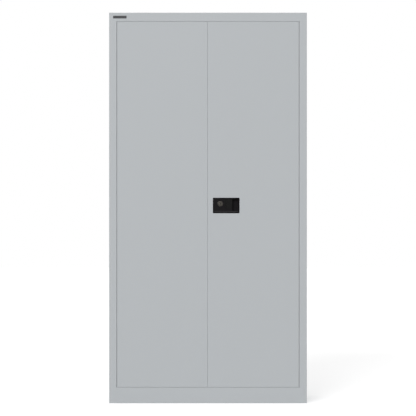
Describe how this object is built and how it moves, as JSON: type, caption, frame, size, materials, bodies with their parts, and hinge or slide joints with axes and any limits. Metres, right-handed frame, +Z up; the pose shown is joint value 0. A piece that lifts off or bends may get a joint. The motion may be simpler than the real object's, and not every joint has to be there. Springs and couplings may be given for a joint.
{
  "type": "double door cupboard",
  "caption": "Tall free-standing sheet steel cupboard with flush hinged doors, adjustable shelves and a flush lockable pull handle.",
  "frame": {"origin": "middle of the footprint on the floor", "axes": "+Z up, the doors face -Y, +X to the right as seen from the front"},
  "size_m": [0.914, 0.402, 1.806],
  "materials": {
    "paint": "fine satin powder coat",
    "black_plastic": "fine textured moulding",
    "nickel": "nickel plated",
    "zinc": "bright zinc plated",
    "nylon": "natural nylon",
    "rubber": "matte"
  },
  "bodies": {
    "carcass": {"top_panel": "paint", "base_panel": "paint", "back_panel": "paint", "side_panel_left": "paint", "side_panel_right": "paint", "upper_strike_plate": "zinc", "lower_strike_plate": "zinc", "hinge_arm_left_1": "zinc", "hinge_arm_left_2": "zinc", "hinge_arm_left_3": "zinc", "hinge_arm_right_1": "zinc", "hinge_arm_right_2": "zinc", "hinge_arm_right_3": "zinc", "door_buffer_left_top": "rubber", "door_buffer_left_bottom": "rubber", "door_buffer_right_top": "rubber", "door_buffer_right_bottom": "rubber", "badge_plate": "black_plastic", "shelf_upright_left_front": "paint", "shelf_upright_left_rear": "paint", "shelf_upright_right_front": "paint", "shelf_upright_right_rear": "paint", "shelf_1": "paint", "shelf_2": "paint", "shelf_3": "paint", "shelf_clip_1_left_front": "zinc", "shelf_clip_1_left_rear": "zinc", "shelf_clip_1_right_front": "zinc", "shelf_clip_1_right_rear": "zinc", "shelf_clip_2_left_front": "zinc", "shelf_clip_2_left_rear": "zinc", "shelf_clip_2_right_front": "zinc", "shelf_clip_2_right_rear": "zinc", "shelf_clip_3_left_front": "zinc", "shelf_clip_3_left_rear": "zinc", "shelf_clip_3_right_front": "zinc", "shelf_clip_3_right_rear": "zinc"},
    "left_door": {"left_door_skin": "paint", "left_door_stiffener": "paint", "closing_strip": "paint", "hinge_clevis_left_1": "zinc", "hinge_clevis_left_2": "zinc", "hinge_clevis_left_3": "zinc"},
    "right_door": {"right_door_skin": "paint", "right_door_stiffener": "paint", "hinge_clevis_right_1": "zinc", "hinge_clevis_right_2": "zinc", "hinge_clevis_right_3": "zinc", "handle_housing": "black_plastic", "handle_clamp_plate": "zinc", "rod_guide_upper_1": "nylon", "rod_guide_upper_2": "nylon", "rod_guide_lower_1": "nylon", "rod_guide_lower_2": "nylon"},
    "lock": {"lock_barrel": "nickel", "lock_cam": "zinc"},
    "upper_lock_rod": {"upper_rod": "zinc"},
    "lower_lock_rod": {"lower_rod": "zinc"}
  },
  "joints": [
    {"name": "left_door_hinge", "type": "hinge", "parent": "carcass", "child": "left_door", "pos_m": [-0.4075, -0.1925, 0.92], "axis": [0, 0, -1], "range_deg": [0, 105]},
    {"name": "right_door_hinge", "type": "hinge", "parent": "carcass", "child": "right_door", "pos_m": [0.4075, -0.1925, 0.92], "axis": [0, 0, 1], "range_deg": [0, 105]},
    {"name": "lock_turn", "type": "hinge", "parent": "right_door", "child": "lock", "pos_m": [0.05705, -0.199, 0.9221], "axis": [0, 1, 0], "range_deg": [0, 90]},
    {"name": "upper_rod_slide", "type": "slide", "parent": "right_door", "child": "upper_lock_rod", "axis": [0, 0, 1], "range_m": [0, 0.01273]},
    {"name": "lower_rod_slide", "type": "slide", "parent": "right_door", "child": "lower_lock_rod", "axis": [0, 0, -1], "range_m": [0, 0.01275]}
  ],
  "couplings": [
    {"joint": "lock_turn", "follows": "upper_rod_slide", "rad_per_m": 123.41},
    {"joint": "lower_rod_slide", "follows": "upper_rod_slide", "ratio": 1}
  ]
}
